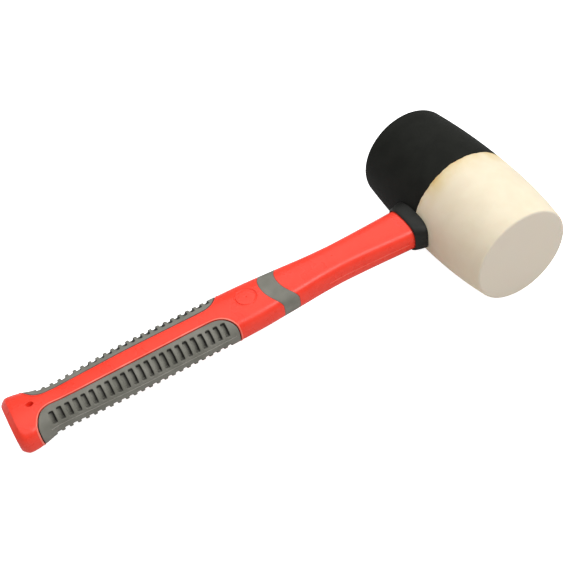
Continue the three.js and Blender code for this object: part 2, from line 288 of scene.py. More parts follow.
def through_points(points, at):
    """A smooth curve through rows whose first column rises, read at these places."""
    rows = np.array(points, float)
    keys = rows[:, 0]
    slopes = np.empty_like(rows)
    for i in range(len(rows)):
        low, high = max(i - 1, 0), min(i + 1, len(rows) - 1)
        slopes[i] = (rows[high] - rows[low]) / (keys[high] - keys[low])
    k = np.clip(np.searchsorted(keys, at, side="right") - 1, 0, len(keys) - 2)
    span = keys[k + 1] - keys[k]
    t = np.clip((at - keys[k]) / span, 0, 1)[:, None]
    span = span[:, None]
    return ((2 * t ** 3 - 3 * t ** 2 + 1) * rows[k] + (t ** 3 - 2 * t ** 2 + t) * slopes[k] * span
            + (3 * t ** 2 - 2 * t ** 3) * rows[k + 1] + (t ** 3 - t ** 2) * slopes[k + 1] * span)


# Half width and half thickness of the handle every 0.25 mm, for pressing flat work onto it.
fine_places = np.arange(SHOULDER, 287.01, 0.25)
fine_sections = through_points(HANDLE_SECTIONS, fine_places) * mm

# Distance round a 30.6 x 19.4 mm section, from the middle of its front side over the crown (+) or
# under the belly (-), against the fractions of half width and half thickness found there.
turn = np.linspace(-math.pi, math.pi, 5761)
round_y = np.sign(np.cos(turn)) * np.abs(np.cos(turn)) ** (2 / HANDLE_ROUNDNESS)
round_z = np.sign(np.sin(turn)) * np.abs(np.sin(turn)) ** (2 / HANDLE_ROUNDNESS)
steps = np.hypot(np.diff(GRIP_HALF[0] * round_y), np.diff(GRIP_HALF[1] * round_z))
round_way = np.concatenate([[0], np.cumsum(steps)])
round_way -= round_way[len(turn) // 2]
HALF_WAY_ROUND = round_way[-1]


def handle_surface(along, way):
    """The point of the handle's surface at a place along it and a distance round it."""
    width = np.interp(along, fine_places * mm, fine_sections[:, 1])
    thickness = np.interp(along, fine_places * mm, fine_sections[:, 2])
    return np.stack([along, width * np.interp(way, round_way, round_y),
                     thickness * np.interp(way, round_way, round_z)], axis=1)


def press_onto_handle(piece):
    """Wraps flat work (x along the handle, y round it, z above its surface) onto the handle."""
    flat = np.empty(len(piece.data.vertices) * 3)
    piece.data.vertices.foreach_get("co", flat)
    flat = flat.reshape(-1, 3)
    along, way, above = flat.T
    little = 0.15 * mm
    run = handle_surface(along + little, way) - handle_surface(along - little, way)
    climb = handle_surface(along, way + little) - handle_surface(along, way - little)
    outward = np.cross(climb, run)
    outward /= np.linalg.norm(outward, axis=1)[:, None]
    placed = handle_surface(along, way) + outward * above[:, None]
    piece.data.vertices.foreach_set("co", placed.ravel())
    piece.data.update()
    pick(piece)
    bpy.ops.object.mode_set(mode="EDIT")
    bpy.ops.mesh.select_all(action="SELECT")
    bpy.ops.mesh.flip_normals()
    bpy.ops.object.mode_set(mode="OBJECT")


def grown(loop, by):
    """The closed flat outline (anticlockwise) moved outward by a distance."""
    ahead, behind = np.roll(loop, -1, axis=0), np.roll(loop, 1, axis=0)
    run = ahead - behind
    run /= np.linalg.norm(run, axis=1)[:, None]
    return loop + np.stack([run[:, 1], -run[:, 0]], axis=1) * by


def combine(piece, other, operation):
    """Joins or cuts one closed piece with another, which is used up."""
    pick(piece)
    step = piece.modifiers.new("combine", "BOOLEAN")
    step.operation = operation
    step.solver = "EXACT"
    step.object = other
    if other.data.materials:
        step.material_mode = "TRANSFER"
    bpy.ops.object.modifier_apply(modifier=step.name)
    bpy.data.objects.remove(other)


# The flat outline of a grip: the crown edge, then the same edge mirrored on the belly.
quarter = slice(len(turn) // 2, len(turn) // 2 + len(turn) // 4 + 1)
crown_edge = []
for x, y in GRIP_OUTLINE:
    width = np.interp(x, fine_places, fine_sections[:, 1])
    crown_edge.append((x * mm, np.interp(-y * mm / width, -round_y[quarter], round_way[quarter])))
corners = np.array([(x, -way) for x, way in crown_edge] + crown_edge[::-1])
EDGE_POINTS_PER_CORNER = 9
grip_loop = []
for i in range(len(corners)):
    before, here, there, after = (corners[(i + k) % len(corners)] for k in (-1, 0, 1, 2))
    gap_before, gap, gap_after = (
        max(np.linalg.norm(b - a), 1e-6) ** 0.5
        for a, b in ((before, here), (here, there), (there, after)))
    leave = (there - here) + gap * ((here - before) / gap_before
                                    - (there - before) / (gap_before + gap))
    arrive = (there - here) + gap * ((after - there) / gap_after
                                     - (after - here) / (gap + gap_after))
    for t in np.arange(EDGE_POINTS_PER_CORNER) / EDGE_POINTS_PER_CORNER:
        grip_loop.append((2 * t ** 3 - 3 * t ** 2 + 1) * here + (t ** 3 - 2 * t ** 2 + t) * leave
                         + (3 * t ** 2 - 2 * t ** 3) * there + (t ** 3 - t ** 2) * arrive)
grip_loop = np.array(grip_loop)


def flat_plate(name, loop, top, bottom, rounding):
    """A flat plate of this outline between two heights, its upper edge rounded over."""
    pick()
    bpy.ops.mesh.primitive_circle_add(vertices=len(loop), radius=1, fill_type="NGON")
    plate = bpy.context.object
    plate.name = name
    for corner, (x, y) in zip(plate.data.vertices, loop):
        corner.co = (x, y, top - rounding)
    bpy.ops.object.mode_set(mode="EDIT")
    bpy.ops.mesh.select_all(action="SELECT")
    bpy.ops.mesh.extrude_region_move(
        TRANSFORM_OT_translate={"value": (0, 0, bottom + rounding - top)})
    bpy.ops.mesh.select_all(action="SELECT")
    bpy.ops.mesh.normals_make_consistent(inside=False)
    pick_faces(lambda centre, normal: normal.z > 0.9)
    turns = 4
    for i in range(turns if rounding else 0):
        low, high = (math.pi / 2 * k / turns for k in (i, i + 1))
        bpy.ops.mesh.inset(thickness=rounding * (math.cos(low) - math.cos(high)),
                           depth=rounding * (math.sin(high) - math.sin(low)))
    slice_up(1, np.arange(-16, 16.1, 0.8) * mm)
    slice_up(0, np.arange(162, 280, 2.0) * mm)
    bpy.ops.object.mode_set(mode="OBJECT")
    return plate


def twin_behind(piece):
    """A copy of a piece, with its own mesh, mirrored to the back of the handle."""
    pick(piece)
    bpy.ops.object.duplicate()
    twin = bpy.context.object
    bpy.ops.object.mode_set(mode="EDIT")
    bpy.ops.mesh.select_all(action="SELECT")
    bpy.ops.transform.resize(value=(1, -1, 1), center_override=(0, 0, 0))
    bpy.ops.mesh.normals_make_consistent(inside=False)
    bpy.ops.object.mode_set(mode="OBJECT")
    return twin


def swept_ring(name, grow, top, rounding):
    """The ring's form: an outline spun round the handle's line, then pressed on and swept back."""
    half, low = RING_WIDTH / 2 + grow, -RING_DEPTH - grow
    pick()
    bpy.ops.mesh.primitive_plane_add(size=1, rotation=(math.pi / 2, 0, 0))
    ring = bpy.context.object
    ring.name = name
    bpy.ops.object.transform_apply(location=False, rotation=True, scale=False)
    bpy.ops.object.mode_set(mode="EDIT")
    bpy.ops.mesh.select_all(action="SELECT")
    bpy.ops.transform.resize(value=(2 * half, 1, top - low), center_override=(0, 0, 0))
    bpy.ops.transform.translate(value=(0, 0, RING_SPUN_RADIUS + (top + low) / 2))
    if rounding:
        bpy.ops.mesh.select_all(action="DESELECT")
        for vert in mesh_in_hand().verts:
            vert.select_set(vert.co.z > RING_SPUN_RADIUS)
        bmesh.update_edit_mesh(ring.data)
        bpy.ops.mesh.bevel(offset=rounding, segments=4, affect="VERTICES")
    bpy.ops.mesh.select_all(action="SELECT")
    bpy.ops.mesh.delete(type="ONLY_FACE")
    slice_up(0, np.linspace(-half, half, 9)[1:-1])
    bpy.ops.mesh.select_all(action="SELECT")
    bpy.ops.mesh.spin(steps=120, angle=2 * math.pi, center=(0, 0, 0), axis=(1, 0, 0), dupli=False)
    bpy.ops.mesh.select_all(action="SELECT")
    bpy.ops.mesh.remove_doubles(threshold=1e-6)
    bpy.ops.mesh.delete_loose()
    bpy.ops.mesh.select_all(action="SELECT")
    bpy.ops.mesh.normals_make_consistent(inside=False)
    bpy.ops.object.mode_set(mode="OBJECT")
    for vert in ring.data.vertices:
        x, y, z = vert.co
        way = math.atan2(z, y) / math.pi * HALF_WAY_ROUND
        across = np.interp(way, round_way, round_y)
        share = abs(across * RING_HALF_WIDTH / RING_SWEPT_FROM) ** RING_SWEEP_POWER
        sweep = RING_SWEEP * min(share, 1)
        spot = handle_surface(np.array([RING_PLACE + x - sweep]), np.array([way]))[0]
        out = Vector((0, spot[1] / RING_OUTWARD[0], spot[2] / RING_OUTWARD[1])).normalized()
        vert.co = Vector(spot) + out * (math.hypot(y, z) - RING_SPUN_RADIUS)
    return ring


sections = [(TENON_END, *TENON_HALF)]
for rib in range(RIB_COUNT):
    at = (RIB_FIRST + RIB_PITCH * rib) * mm
    for side, lift in RIB_FORM:
        sections.append((at + side * mm, TENON_HALF[0] + lift * RIB_HEIGHT,
                         TENON_HALF[1] + lift * RIB_HEIGHT))
sections.append((SHOULDER * mm, *TENON_HALF))
shaft_places = np.concatenate([
    [SHOULDER, 38.45, SHOULDER_FULL], np.arange(40, 258, 1.9), np.arange(258, 286.6, 1.3)])
for x, width, thickness in through_points(HANDLE_SECTIONS, shaft_places):
    rim = max(0, SHOULDER_FULL - x) ** 2 / SHOULDER_ROUND ** 2 * SHOULDER_DROP
    sections.append((x * mm, (width - rim) * mm, (thickness - rim) * mm))
_, butt_width, butt_thickness = through_points(HANDLE_SECTIONS, np.array([BUTT_FULL / mm]))[0] * mm
for step in range(BUTT_STEPS + 1):
    bend = math.pi / 2 * step / BUTT_STEPS
    shrink = BUTT_ROUND * (1 - math.cos(bend))
    sections.append((BUTT_FULL + (BUTT_END - BUTT_FULL) * math.sin(bend),
                     butt_width - shrink,
                     butt_thickness - BUTT_SLOPE * max(0, math.sin(bend) - BUTT_CREASE)))
jacket = draw_bar("red_handle_jacket", HANDLE_ROUNDNESS, 24, sections)
bpy.ops.object.mode_set(mode="EDIT")
pick_faces(lambda centre, normal: normal.x > 0.9 and centre.x > BUTT_END - 0.01 * mm)
for ring_width in BUTT_FACE_RINGS:
    bpy.ops.mesh.inset(thickness=ring_width, depth=0)
bpy.ops.object.mode_set(mode="OBJECT")

WHOLE_RAMP, MIDDLE_RAMP = (0, 1), (0.35, 0.65)
GLOSS_SWING = 0.05


def mould_skin(finish, colours, ramp, bump_strength, bump_height, **skin_values):
    """Gives a finish the fine skin: its colour wanders between two tones, and its bump.

    Returns the placed skin and the tone, which a material may paint over.
    """
    _, nodes, shader, link = finish
    skin = place_group(nodes, fine_skin, **skin_values)
    tone = node(nodes, "ShaderNodeValToRGB")
    for stop in (0, 1):
        tone.color_ramp.elements[stop].color = (*colours[stop], 1)
        tone.color_ramp.elements[stop].position = ramp[stop]
    bump = node(nodes, "ShaderNodeBump", i0=bump_strength, i1=bump_height)
    link(skin.outputs["Unevenness"], tone.inputs["Fac"])
    link(tone.outputs["Color"], shader.inputs["Base Color"])
    link(skin.outputs["Height"], bump.inputs["Height"])
    link(bump.outputs["Normal"], shader.inputs["Normal"])
    return skin, tone


# Two finishes of the one plastic: the body, and the thin proud lines, which are paler. On the
# front lip the paler colour is a painted highlight.
red_finishes = []
for name, colours, rough in (
        ("red moulded polypropylene", ((0.90, 0.046, 0.022), (0.94, 0.053, 0.026)), 0.29),
        ("paler red lines, painted lip highlight", ((0.95, 0.14, 0.09), (0.97, 0.24, 0.18)), 0.26)):
    red_finish = finish_of(name, IOR=1.49, Specular_IOR_Level=0.33,
                           Subsurface_Weight=0.04, Subsurface_Scale=0.0012)
    red_plastic, nodes, shader, link = red_finish
    shader.inputs["Subsurface Radius"].default_value = (1.0, 0.25, 0.15)
    skin, _ = mould_skin(red_finish, colours, MIDDLE_RAMP, 0.25, 0.00012,
                         Grain_per_metre=3200.0, Grain=0.5, Waves=1.2)
    gloss = node(nodes, "ShaderNodeMapRange", i1=0.3, i2=0.7,
                 i3=rough - GLOSS_SWING, i4=rough + GLOSS_SWING)
    link(skin.outputs["Unevenness"], gloss.inputs["Value"])
    link(gloss.outputs["Result"], shader.inputs["Roughness"])
    red_finishes.append(red_plastic)
jacket.data.materials.append(red_finishes[0])

# The raised lips, laid flat as round cords and sunk until only their crests stand out.
lip_radius = ((LIP_WIDTH / 2) ** 2 + LIP_HEIGHT ** 2) / (2 * LIP_HEIGHT)
lip_line = bpy.data.curves.new("grip pocket lip", "CURVE")
lip_line.dimensions = "3D"
lip_run = lip_line.splines.new("POLY")
lip_path = grown(grip_loop, POCKET_GAP + LIP_WIDTH / 2)
lip_run.points.add(len(lip_path) - 1)
for point, (x, y) in zip(lip_run.points, lip_path):
    point.co = (x, y, LIP_HEIGHT - lip_radius, 1)
lip_run.use_cyclic_u = True
lip_line.bevel_depth = lip_radius
lip_line.bevel_resolution = 6
lip = bpy.data.objects.new("grip pocket lip", lip_line)
bpy.context.scene.collection.objects.link(lip)
pick(lip)
bpy.ops.object.convert(target="MESH")
# Painted highlight: the front lip takes the paler finish along its crest.
lip.data.materials.append(red_finishes[1])
press_onto_handle(lip)
lip_behind = twin_behind(lip)
# The back lip keeps the body's colour, without the painted highlight.
lip_behind.data.materials[0] = red_finishes[0]
combine(jacket, lip, "UNION")
combine(jacket, lip_behind, "UNION")

# The line where the two halves of the mould met, left along the front and back of the shaft.
pick()
bpy.ops.mesh.primitive_cube_add(size=1, location=((FLASH_START + FLASH_END) / 2 * mm, 0, 0))
flash = bpy.context.object
flash.scale = ((FLASH_END - FLASH_START) * mm, FLASH_WIDTH, FLASH_HEIGHT)
bpy.ops.object.transform_apply(location=True, rotation=True, scale=True)
bpy.ops.object.mode_set(mode="EDIT")
slice_up(0, np.arange(FLASH_START + 2, FLASH_END, 2) * mm)
bpy.ops.object.mode_set(mode="OBJECT")
flash.data.materials.append(red_finishes[1])
press_onto_handle(flash)
flash_behind = twin_behind(flash)
combine(jacket, flash, "UNION")
combine(jacket, flash_behind, "UNION")

# Everything that is cut away: grip pockets, ring groove, core bore, hanging hole, round mark.
pocket = flat_plate("grip pocket", grown(grip_loop, POCKET_GAP), top=1.5 * mm,
                    bottom=-POCKET_DEPTH, rounding=0)
press_onto_handle(pocket)
pocket_behind = twin_behind(pocket)
combine(jacket, pocket, "DIFFERENCE")
combine(jacket, pocket_behind, "DIFFERENCE")
groove = swept_ring("ring groove", grow=0.12 * mm, top=1 * mm, rounding=0)
combine(jacket, groove, "DIFFERENCE")
pick()
bpy.ops.mesh.primitive_cylinder_add(
    vertices=48, radius=CORE_RADIUS + CORE_GAP, depth=CORE_END - TENON_END + BORE_OVERRUN,
    location=((CORE_END + TENON_END) / 2 - BORE_OVERRUN / 2, 0, 0), rotation=(0, math.pi / 2, 0))
bpy.ops.object.transform_apply(location=True, rotation=True, scale=True)
combine(jacket, bpy.context.object, "DIFFERENCE")
pick()
bpy.ops.mesh.primitive_cylinder_add(vertices=40, radius=HOLE_RADIUS, depth=30 * mm,
                                    location=(*HOLE_PLACE, 0))
hole = bpy.context.object
hole.scale = (*HOLE_OVAL, 1)
bpy.ops.object.transform_apply(location=True, rotation=True, scale=True)
bpy.ops.object.mode_set(mode="EDIT")
slice_up(2, [-MOUTH_TOP, -MOUTH_FOOT, MOUTH_FOOT, MOUTH_TOP])
hole_x, hole_y = HOLE_PLACE
for vert in mesh_in_hand().verts:
    if abs(vert.co.z) > (MOUTH_FOOT + MOUTH_TOP) / 2:
        spread = MOUTH_SPREAD if abs(vert.co.z) < MOUTH_TOP + 1 * mm else CUTTER_SPREAD
        vert.co.x = hole_x + (vert.co.x - hole_x) * spread
        vert.co.y = hole_y + (vert.co.y - hole_y) * spread
bmesh.update_edit_mesh(hole.data)
bpy.ops.object.mode_set(mode="OBJECT")
combine(jacket, hole, "DIFFERENCE")
pick()
bpy.ops.mesh.primitive_torus_add(major_radius=MARK_RADIUS, minor_radius=MARK_LINE,
                                 major_segments=72, minor_segments=12,
                                 location=(MARK_PLACE, 0, GRIP_HALF[1] + MARK_RING_LIFT))
bpy.ops.object.transform_apply(location=True, rotation=True, scale=True)
combine(jacket, bpy.context.object, "DIFFERENCE")
pick()
bpy.ops.mesh.primitive_uv_sphere_add(radius=MARK_DOT, segments=32, ring_count=16,
                                     location=(MARK_PLACE, 0, GRIP_HALF[1] + MARK_DOT_LIFT))
bpy.ops.object.transform_apply(location=True, rotation=True, scale=True)
combine(jacket, bpy.context.object, "DIFFERENCE")

# The cuts leave hair-thin slivers along the lips. They are welded and the pinholes closed, so that
# the jacket is one closed skin.
pick(jacket)
bpy.ops.object.mode_set(mode="EDIT")
bpy.ops.mesh.select_mode(type="VERT")
bpy.ops.mesh.select_all(action="SELECT")
bpy.ops.mesh.remove_doubles(threshold=SLIVER)
bpy.ops.mesh.dissolve_degenerate(threshold=SLIVER)
bpy.ops.mesh.select_all(action="SELECT")
bpy.ops.mesh.fill_holes(sides=PINHOLE_SIDES)
bpy.ops.mesh.select_all(action="DESELECT")
bpy.ops.mesh.select_non_manifold()
bpy.ops.mesh.merge(type="COLLAPSE")
bpy.ops.object.mode_set(mode="OBJECT")
lay_down(jacket, 32)

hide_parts("handle_jacket")
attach(jacket, "root")


# ---------------------------------------------------------------------------------------------
# Side grips
# Two grey thermoplastic-rubber panels, the second shot of the moulding, wrapped over the front
# and back of the handle. Each has two rows of 23 finger slots and a raised line between the rows.
SLOT_COUNT, SLOT_FIRST, SLOT_PITCH = 23, 270.5 * mm, 4.667 * mm
SLOT_WIDTH, SLOT_LENGTH = 2.65 * mm, 9.2 * mm
SLOT_SPAN = [         # place, foot and top of a slot measured round the handle, in mm
    (164, 3.25, 12.0), (185, 3.1, 12.7), (209.5, 3.0, 13.1), (230, 3.0, 12.9),
    (251.5, 3.1, 12.2), (266, 3.2, 11.5), (271, 3.0, 10.8)]
SLOT_CORNER, SLOT_CUTTER_TOP, SLOT_MOUTH = 0.85 * mm, 1.2 * mm, 0.2 * mm
SLOT_FORM = (         # height over the grip's skin, how far each side stands out there, in mm
    (0.1, 0.22), (0.0, 0.16), (-0.12, 0.06), (-0.3, 0), (-1.75, -0.08), (-1.97, -0.2),
    (-2.1, -0.42))
SLOT_RAMP = 0.7       # depth at the butt side of a slot as a share of the depth at its head side
RAMP_SPAN = (-0.35, 0.45)   # where the ramp runs across a slot, as shares of the slot's width
RIDGE_START, RIDGE_END = 163, 274
RIDGE_WAY, RIDGE_WIDTH, RIDGE_HEIGHT = 1.0 * mm, 0.5 * mm, 0.3 * mm
RIDGE_CREST = 0.45    # share of the ridge's width at its top
GRIP_PROUD, GRIP_SHRINK, GRIP_EDGE, GRIP_FLOOR_GAP = 0.1 * mm, 0.22 * mm, 0.45 * mm, 0.06 * mm
# Where the painted shade fades in, in mm: from a slot's middle, its two ends, the skin, and the
# panel's rim.
PAINTED_SHADE_HEAD_SIDE, PAINTED_SHADE_CROWN_END, PAINTED_SHADE_FOOT_END = (-0.95, -0.5), (-0.9, -0.4), (0.1, 0.6)
PAINTED_SHADE_FOOT_SHARE = 0.7
PAINTED_SHADE_DEEP, PAINTED_SHADE_RIM_DEEP, PAINTED_SHADE_RIM_WIDTH = (-0.35, -0.12), (-0.3, 0.0), 0.9

grey_finishes = []
for name, colours in (
        ("grey soft grip", ((0.165, 0.163, 0.135), (0.215, 0.21, 0.18))),
        ("grey line with painted highlight", ((0.25, 0.24, 0.21), (0.36, 0.35, 0.31)))):
    grey_finish = finish_of(name, Roughness=0.62, IOR=1.48, Specular_IOR_Level=0.4)
    grey_rubber, nodes, shader, link = grey_finish
    _, tone = mould_skin(grey_finish, colours, MIDDLE_RAMP, 0.4, 0.00015,
                         Grain_per_metre=4200.0, Grain=1.0, Waves=0.8)
    # Painted shade: the slot walls and the panel's rim, as marked on the corners, are mixed towards
    # near black.
    painted_shade_mix = node(nodes, "ShaderNodeMixRGB", i2=(0.022, 0.021, 0.018, 1))
    painted_shade = node(nodes, "ShaderNodeAttribute", attribute_name="slot painted shade")
    link(tone.outputs["Color"], painted_shade_mix.inputs["Color1"])
    link(painted_shade.outputs["Fac"], painted_shade_mix.inputs["Fac"])
    link(painted_shade_mix.outputs["Color"], shader.inputs["Base Color"])
    grey_finishes.append(grey_rubber)

grip = flat_plate("front_side_grip", grown(grip_loop, -GRIP_SHRINK), top=GRIP_PROUD,
                  bottom=GRIP_FLOOR_GAP - POCKET_DEPTH, rounding=GRIP_EDGE)
pick()
bpy.ops.mesh.primitive_cube_add(
    size=1, location=((RIDGE_START + RIDGE_END) / 2 * mm, RIDGE_WAY, 0))
ridge = bpy.context.object
ridge.scale = ((RIDGE_END - RIDGE_START) * mm, RIDGE_WIDTH, 2 * (RIDGE_HEIGHT + GRIP_PROUD))
bpy.ops.object.transform_apply(location=True, rotation=True, scale=True)
bpy.ops.object.mode_set(mode="EDIT")
pick_faces(lambda centre, normal: normal.z > 0.9)
bpy.ops.transform.resize(value=(1, RIDGE_CREST, 1), center_override=(0, RIDGE_WAY, 0))
slice_up(0, np.arange(RIDGE_START + 1, RIDGE_END, 3) * mm)
bpy.ops.object.mode_set(mode="OBJECT")
# Painted highlight: the raised line takes a paler grey than the panel.
ridge.data.materials.append(grey_finishes[1])
grip.data.materials.append(grey_finishes[0])
combine(grip, ridge, "UNION")
pick()
bpy.ops.mesh.primitive_plane_add(size=1)
slot = bpy.context.object
bpy.ops.object.mode_set(mode="EDIT")
bpy.ops.mesh.select_all(action="SELECT")
bpy.ops.transform.resize(value=(SLOT_WIDTH, SLOT_LENGTH, 1), center_override=(0, 0, 0))
bpy.ops.mesh.bevel(offset=SLOT_CORNER, segments=5, affect="VERTICES")
bpy.ops.mesh.select_all(action="SELECT")
bpy.ops.transform.translate(value=(0, 0, SLOT_CUTTER_TOP))
width, height = SLOT_WIDTH, SLOT_CUTTER_TOP
for up, spread in SLOT_FORM:
    bpy.ops.mesh.extrude_region_move(
        TRANSFORM_OT_translate={"value": (0, 0, up * mm - height)})
    new_width = SLOT_WIDTH + 2 * spread * mm
    new_length = SLOT_LENGTH + 2 * spread * mm
    length = SLOT_LENGTH + (width - SLOT_WIDTH)
    bpy.ops.transform.resize(value=(new_width / width, new_length / length, 1),
                             center_override=(0, 0, up * mm))
    width, height = new_width, up * mm
bpy.ops.object.mode_set(mode="OBJECT")
for corner in slot.data.vertices:
    if corner.co.z < -SLOT_MOUTH:
        corner.co.z *= np.interp(corner.co.x / SLOT_WIDTH, RAMP_SPAN, (1, SLOT_RAMP))
slots = []
for i in range(SLOT_COUNT):
    for up in (1, -1):
        pick(slot)
        bpy.ops.object.duplicate()
        copy = bpy.context.object
        at = SLOT_FIRST - i * SLOT_PITCH
        _, foot, top = through_points(SLOT_SPAN, np.array([at / mm]))[0] * mm
        copy.location = (at, up * (foot + top) / 2, 0)
        copy.scale = (1, (top - foot) / SLOT_LENGTH, 1)
        slots.append(copy)
bpy.data.objects.remove(slot)
pick(*slots)
bpy.ops.object.transform_apply(location=True, rotation=True, scale=True)
bpy.ops.object.join()
slots = bpy.context.object
bpy.ops.object.mode_set(mode="EDIT")
bpy.ops.mesh.select_all(action="SELECT")
bpy.ops.mesh.normals_make_consistent(inside=False)
slice_up(1, np.arange(-15.6, 16, 0.8) * mm)
bpy.ops.object.mode_set(mode="OBJECT")
combine(grip, slots, "DIFFERENCE")

# Painted shade in the slots and along the panel's rim; each corner notes how much before the panel
# is bent.
painted_shade = grip.data.attributes.new("slot painted shade", "FLOAT", "POINT")
for corner, mark in zip(grip.data.vertices, painted_shade.data):
    x, y, z = corner.co / mm
    number = round((SLOT_FIRST / mm - x) / (SLOT_PITCH / mm))
    from_middle = x - (SLOT_FIRST / mm - number * SLOT_PITCH / mm)
    _, foot, top = through_points(SLOT_SPAN, np.array([x - from_middle]))[0]
    head_side = np.interp(from_middle, PAINTED_SHADE_HEAD_SIDE, (1, 0))
    crown_end = np.interp(abs(y) - top, PAINTED_SHADE_CROWN_END, (0, 1))
    foot_end = np.interp(abs(y) - foot, PAINTED_SHADE_FOOT_END, (PAINTED_SHADE_FOOT_SHARE, 0))
    in_slot = np.interp(z, PAINTED_SHADE_DEEP, (1, 0)) * max(head_side, crown_end, foot_end)
    from_edge = np.hypot(*(grip_loop / mm - (x, y)).T).min()
    at_rim = np.interp(z, PAINTED_SHADE_RIM_DEEP, (1, 0)) if from_edge < PAINTED_SHADE_RIM_WIDTH else 0
    mark.value = max(in_slot, at_rim)
press_onto_handle(grip)
grip_behind = twin_behind(grip)
grip_behind.name = "back_side_grip"

for piece, cad_node in ((grip, "grip_front"), (grip_behind, "grip_back")):
    lay_down(piece, 35)
    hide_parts(cad_node)
    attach(piece, "root")


# ---------------------------------------------------------------------------------------------
# Shaft ring
# A flush ring of the same grey rubber between shaft and grip, moulded into a groove right round
# the handle. Both its edges sweep back towards the head on the sides.
ring = swept_ring("grey_shaft_ring", grow=0, top=0.03 * mm, rounding=0.25 * mm)
lay_down(ring, 40)
ring.data.materials.append(grey_finishes[0])
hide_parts("shaft_band")
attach(ring, "root")


# ---------------------------------------------------------------------------------------------
# Head halves
# Two solid rubber mouldings bonded face to face into one barrel, with an oblong eye through it for
# the handle: black carbon-filled rubber on one side, non-marking white rubber on the other.
HEAD_RADIUS, HEAD_HALF_LENGTH = 35 * mm, 58.4 * mm
SEAM_PLACE, SEAM_GAP = 1.4 * mm, 0.12 * mm
SEAM_EDGE = ((0, 0.35), (0.08, 0.16), (0.22, 0.05), (0.4, 0.0))   # mm from the seam, mm sunk
SEAM_WANDER, SEAM_WANDER_REACH = 0.4 * mm, 2.5 * mm
BARREL_STEPS, EDGE_STEPS = 28, 8
FACE_RINGS = (4 * mm, 8 * mm, 8 * mm, 6 * mm)
EYE_HALF = (11.6 * mm, 9.2 * mm)
EYE_ROUNDNESS = 2.6


def barrel_radius(y, face_radius, lateness):
    """The barrel's radius at y; a greater lateness keeps it full for longer towards the face."""
    return HEAD_RADIUS - (HEAD_RADIUS - face_radius) * (abs(y) / HEAD_HALF_LENGTH) ** lateness


def head_half(name, side, face_radius, lateness, edge_round):
    """Half the barrel: a disc at the seam drawn out ring by ring to its flat face, then the eye."""
    rings = []
    start = SEAM_PLACE + side * SEAM_GAP / 2
    shoulder = side * (HEAD_HALF_LENGTH - edge_round)
    for inward, drop in SEAM_EDGE:
        y = start + side * inward * mm
        rings.append((y, barrel_radius(y, face_radius, lateness) - drop * mm))
    first = rings[-1][0]
    for i in range(1, BARREL_STEPS + 1):
        y = first + (shoulder - first) * i / BARREL_STEPS
        rings.append((y, barrel_radius(y, face_radius, lateness)))
    edge = rings[-1][1]
    for i in range(1, EDGE_STEPS + 1):
        bend = math.pi / 2 * i / EDGE_STEPS
        rings.append((shoulder + side * edge_round * math.sin(bend),
                      edge - edge_round * (1 - math.cos(bend))))
    pick()
    bpy.ops.mesh.primitive_circle_add(vertices=144, radius=rings[0][1], fill_type="NGON",
                                      location=(0, rings[0][0], 0),
                                      rotation=(-side * math.pi / 2, 0, 0))
    half = bpy.context.object
    half.name = name
    bpy.ops.object.transform_apply(location=True, rotation=True, scale=True)
    bpy.ops.object.mode_set(mode="EDIT")
    bpy.ops.mesh.select_all(action="SELECT")
    y, radius = rings[0]
    for next_y, next_radius in rings[1:]:
        bpy.ops.mesh.extrude_region_move(TRANSFORM_OT_translate={"value": (0, next_y - y, 0)})
        grow = next_radius / radius
        bpy.ops.transform.resize(value=(grow, 1, grow), center_override=(0, next_y, 0))
        y, radius = next_y, next_radius
    for ring_width in FACE_RINGS:
        bpy.ops.mesh.inset(thickness=ring_width, depth=0)
    bpy.ops.mesh.select_all(action="SELECT")
    bpy.ops.mesh.normals_make_consistent(inside=False)
    bpy.ops.object.mode_set(mode="OBJECT")
    for vert in half.data.vertices:
        near = max(0, 1 - abs(vert.co.y - start) / SEAM_WANDER_REACH)
        around = math.atan2(vert.co.z, vert.co.x)
        wander = (0.5 * math.sin(3 * around + 0.6) + 0.3 * math.sin(7 * around + 2.0)
                  + 0.35 * math.sin(17 * around + 1.0) + 0.3 * math.sin(41 * around))
        vert.co.y += SEAM_WANDER * near * wander
    eye = draw_bar("eye", EYE_ROUNDNESS, 16, [(x * mm, *EYE_HALF) for x in (-50, 50)])
    combine(half, eye, "DIFFERENCE")
    lay_down(half, 40)
    return half


black_half = head_half("black_rubber_half", -1, face_radius=31.4 * mm, lateness=2.0,
                       edge_round=3.4 * mm)
white_half = head_half("white_rubber_half", 1, face_radius=30.3 * mm, lateness=2.45,
                       edge_round=1.5 * mm)

black_finish = finish_of("black rubber", Roughness=0.7, IOR=1.5, Specular_IOR_Level=0.11)
mould_skin(black_finish, ((0.0095, 0.0102, 0.0082), (0.0125, 0.0133, 0.0108)), MIDDLE_RAMP,
           0.5, 0.0003, Grain_per_metre=1800.0, Grain=1.0, Waves=1.5)
black_half.data.materials.append(black_finish[0])
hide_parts("black_head_half")
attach(black_half, "root")

white_finish = finish_of("white rubber", Roughness=0.6, IOR=1.5, Specular_IOR_Level=0.35,
                         Subsurface_Weight=0.1, Subsurface_Scale=0.003)
white_rubber, nodes, shader, link = white_finish
_, tone = mould_skin(white_finish, ((0.80, 0.70, 0.52), (0.83, 0.74, 0.56)), MIDDLE_RAMP,
                     0.35, 0.0003, Grain_per_metre=1400.0, Grain=0.8, Waves=1.5)
